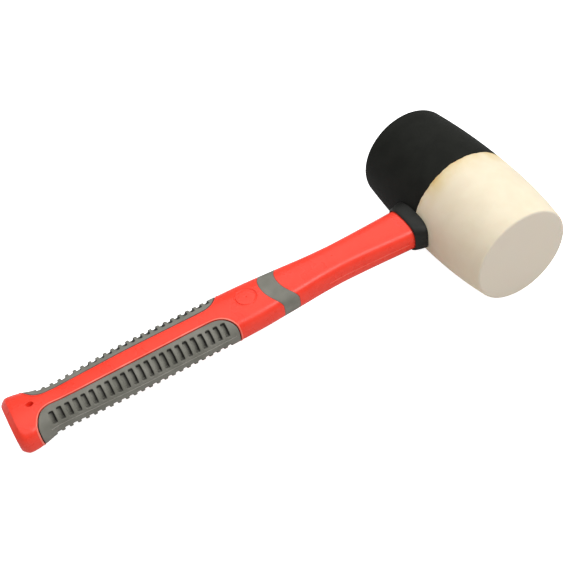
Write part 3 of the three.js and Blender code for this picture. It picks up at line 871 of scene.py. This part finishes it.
# The white rubber is stained tan along its joint, most of all at the very edge. The flat striking
# face is painted darker and a little greyer than the side: painted shade plus its own greyer tone.
place = node(nodes, "ShaderNodeTexCoord")
axes = node(nodes, "ShaderNodeSeparateXYZ")
from_seam = node(nodes, "ShaderNodeMapRange", interpolation_type="SMOOTHSTEP",
                 i1=-0.0155, i2=-0.0015, i3=0.0, i4=1.0)
blotches = node(nodes, "ShaderNodeTexNoise", i2=55.0, i3=3.0, i4=0.55)
patchy = node(nodes, "ShaderNodeMapRange", i1=0.35, i2=0.68, i3=0.05, i4=1.0)
stain_mask = node(nodes, "ShaderNodeMath", operation="MULTIPLY")
stain = node(nodes, "ShaderNodeMixRGB", i2=(0.72, 0.56, 0.27, 1))
at_seam = node(nodes, "ShaderNodeMapRange", i1=-0.0042, i2=-0.0014, i3=0.0, i4=0.75)
rim_mask = node(nodes, "ShaderNodeMath", operation="MULTIPLY")
rim = node(nodes, "ShaderNodeMixRGB", i2=(0.62, 0.38, 0.14, 1))
# Painted shade, with a little of the face's own greyer tone: the flat striking face is mixed
# darker.
face_mask = node(nodes, "ShaderNodeMapRange", i1=-0.0576, i2=-0.0583, i3=0.0, i4=1.0)
face_grey_and_shade = node(nodes, "ShaderNodeMixRGB", i2=(0.70, 0.62, 0.51, 1))
link(place.outputs["Object"], axes.inputs["Vector"])
link(place.outputs["Object"], blotches.inputs["Vector"])
link(axes.outputs["Y"], from_seam.inputs["Value"])
link(axes.outputs["Y"], face_mask.inputs["Value"])
link(blotches.outputs["Fac"], patchy.inputs["Value"])
link(from_seam.outputs["Result"], stain_mask.inputs[0])
link(patchy.outputs["Result"], stain_mask.inputs[1])
link(stain_mask.outputs[0], stain.inputs["Fac"])
link(tone.outputs["Color"], stain.inputs["Color1"])
link(axes.outputs["Y"], at_seam.inputs["Value"])
link(at_seam.outputs["Result"], rim_mask.inputs[0])
link(patchy.outputs["Result"], rim_mask.inputs[1])
link(stain.outputs["Color"], rim.inputs["Color1"])
link(rim_mask.outputs[0], rim.inputs["Fac"])
link(rim.outputs["Color"], face_grey_and_shade.inputs["Color1"])
link(face_mask.outputs["Result"], face_grey_and_shade.inputs["Fac"])
link(face_grey_and_shade.outputs["Color"], shader.inputs["Base Color"])
white_half.data.materials.append(white_rubber)
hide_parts("white_head_half")
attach(white_half, "root")


# ---------------------------------------------------------------------------------------------
# Eye bond
# Amber two-part epoxy poured round the tenon and cured in the eye of the head. Its surface is seen
# only on the far side, as a slightly sunken ring round the end of the tenon.
BOND_GAP, BOND_END = 0.05 * mm, 32 * mm
BOND_SECTIONS = [     # place, distance inside the wall of the eye
    (TENON_END + 0.6 * mm, 1.3 * mm), (TENON_END + 0.1 * mm, 0.6 * mm),
    (TENON_END - 0.1 * mm, BOND_GAP), (BOND_END, BOND_GAP)]
bond = draw_bar("epoxy_eye_bond", EYE_ROUNDNESS, 16,
                [(x, EYE_HALF[0] - inside, EYE_HALF[1] - inside) for x, inside in BOND_SECTIONS])
ribs = sections[1:1 + RIB_COUNT * len(RIB_FORM)]
tenon_sections = [(x, width + BOND_GAP, thickness + BOND_GAP) for x, width, thickness in (
    (TENON_END - 2 * mm, *TENON_HALF), *ribs, (36 * mm, *TENON_HALF))]
combine(bond, draw_bar("tenon", HANDLE_ROUNDNESS, 24, tenon_sections), "DIFFERENCE")
lay_down(bond, 40)
epoxy_finish = finish_of("cured epoxy", Roughness=0.22, IOR=1.55)
mould_skin(epoxy_finish, ((0.20, 0.12, 0.035), (0.36, 0.24, 0.09)), WHOLE_RAMP,
           0.4, 0.0004, Grain_per_metre=500.0, Grain=1.0, Waves=1.5)
bond.data.materials.append(epoxy_finish[0])
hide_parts("eye_bond")
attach(bond, "root")


# ---------------------------------------------------------------------------------------------
# Neck collar
# A short flared sleeve of charcoal rubber that hides the joint of handle and head. It is saddled
# to the barrel on one side and takes the square end of the shaft in a shallow socket on the other.
COLLAR_ROUNDNESS, COLLAR_GAP = 2.9, 0.12 * mm
COLLAR_SECTIONS = [   # place, half width, half thickness, in mm
    (26, 16.5, 10.9), (34, 16.5, 10.9), (35.5, 16.35, 10.9), (37, 16.0, 10.87), (39, 15.4, 10.8),
    (40.4, 14.85, 10.72), (41.4, 14.45, 10.6), (41.9, 14.2, 10.4), (42.15, 14.0, 10.25),
    (42.2, 13.8, 10.05)]
SOCKET_SECTIONS = [   # the tenon's hole, then the wider socket for the shaft
    (20, 10.3, 7.9), (38.1, 10.3, 7.9), (38.1, 13.55, 9.85), (60, 13.55, 9.85)]


def in_metres(rows):
    """Rows of millimetres as tuples of metres."""
    return [tuple(value * mm for value in row) for row in rows]


collar = draw_bar("rubber_neck_collar", COLLAR_ROUNDNESS, 20, in_metres(COLLAR_SECTIONS))
pick()
bpy.ops.mesh.primitive_cylinder_add(vertices=144, radius=HEAD_RADIUS + COLLAR_GAP, depth=60 * mm,
                                    rotation=(math.pi / 2, 0, 0))
bpy.ops.object.transform_apply(location=True, rotation=True, scale=True)
combine(collar, bpy.context.object, "DIFFERENCE")
socket = draw_bar("socket", HANDLE_ROUNDNESS, 24, in_metres(SOCKET_SECTIONS))
combine(collar, socket, "DIFFERENCE")
lay_down(collar, 40)
charcoal_finish = finish_of("charcoal collar rubber", Roughness=0.4, IOR=1.5,
                            Specular_IOR_Level=0.22)
mould_skin(charcoal_finish, ((0.009, 0.0095, 0.008), (0.014, 0.0147, 0.012)), WHOLE_RAMP,
           0.5, 0.0004, Grain_per_metre=1500.0, Grain=0.8, Waves=2.5)
collar.data.materials.append(charcoal_finish[0])
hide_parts("neck_collar")
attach(collar, "root")


# ---------------------------------------------------------------------------------------------
# Studio
# A pale seamless floor under a large overhead soft light, with a smaller, weaker one from the
# front, and a camera above and in front of the grip that looks along the handle to the head.
FLOOR_BOUNCE, FLOOR_SEEN, FLOOR_GLOW = 0.7, 0.8, 0.93
SURROUND_LIGHT, SURROUND_SEEN = 0.38, 1.0
CAMERA_LENS, CAMERA_SENSOR = 64.0, 36
CAMERA_PLACE, CAMERA_LOOK = (-0.17997, -0.36482, 0.42916), (0.32198, 0.64064, -0.69707)
CAMERA_ROLL = -4.094      # degrees
pick()
bpy.ops.mesh.primitive_plane_add(size=40)
floor = bpy.context.object
floor.name = "studio_floor"
pale, nodes, shader, link = finish_of("pale floor", Roughness=0.9)
bounce = node(nodes, "ShaderNodeMapRange", i3=FLOOR_BOUNCE, i4=FLOOR_SEEN)
shader.inputs["Emission Color"].default_value = (1, 1, 1, 1)
seen = node(nodes, "ShaderNodeLightPath")
lift = node(nodes, "ShaderNodeMath", operation="MULTIPLY", i1=FLOOR_GLOW)
link(seen.outputs["Is Camera Ray"], bounce.inputs["Value"])
link(bounce.outputs["Result"], shader.inputs["Base Color"])
link(seen.outputs["Is Camera Ray"], lift.inputs[0])
link(lift.outputs[0], shader.inputs["Emission Strength"])
floor.data.materials.append(pale)

scene = bpy.context.scene
scene.view_settings.view_transform = "Standard"
world = bpy.data.worlds.new("studio")
world.use_nodes = True
surround = world.node_tree.nodes["Background"]
surround.inputs["Color"].default_value = (1, 1, 1, 1)
seen = node(world.node_tree.nodes, "ShaderNodeLightPath")
level = node(world.node_tree.nodes, "ShaderNodeMapRange", i3=SURROUND_LIGHT, i4=SURROUND_SEEN)
world.node_tree.links.new(seen.outputs["Is Camera Ray"], level.inputs["Value"])
world.node_tree.links.new(level.outputs["Result"], surround.inputs["Strength"])
scene.world = world

for name, spot, aim, size, power in (
        ("overhead soft light", (0.25, 0.1, 1.2), (0, 0, 0), 2.0, 17.8),
        ("front soft light", (0.4, -0.72, 0.93), (0, 0, 0), 0.4, 3.8)):
    light = bpy.data.lights.new(name, "AREA")
    light.shape = "SQUARE"
    light.size = size
    light.energy = power
    lamp = bpy.data.objects.new(name, light)
    lamp.location = spot
    lamp.rotation_euler = (Vector(aim) - Vector(spot)).to_track_quat("-Z", "Y").to_euler()
    scene.collection.objects.link(lamp)

camera_data = bpy.data.cameras.new("camera")
camera_data.lens, camera_data.sensor_width = CAMERA_LENS, CAMERA_SENSOR
camera_data.clip_start, camera_data.clip_end = 0.01, 20
camera = bpy.data.objects.new("camera", camera_data)
scene.collection.objects.link(camera)
camera.location = CAMERA_PLACE
camera.rotation_mode = "QUATERNION"
camera.rotation_quaternion = (Vector(CAMERA_LOOK).to_track_quat("-Z", "Y")
                              @ Quaternion((0, 0, 1), math.radians(CAMERA_ROLL)))
scene.camera = camera
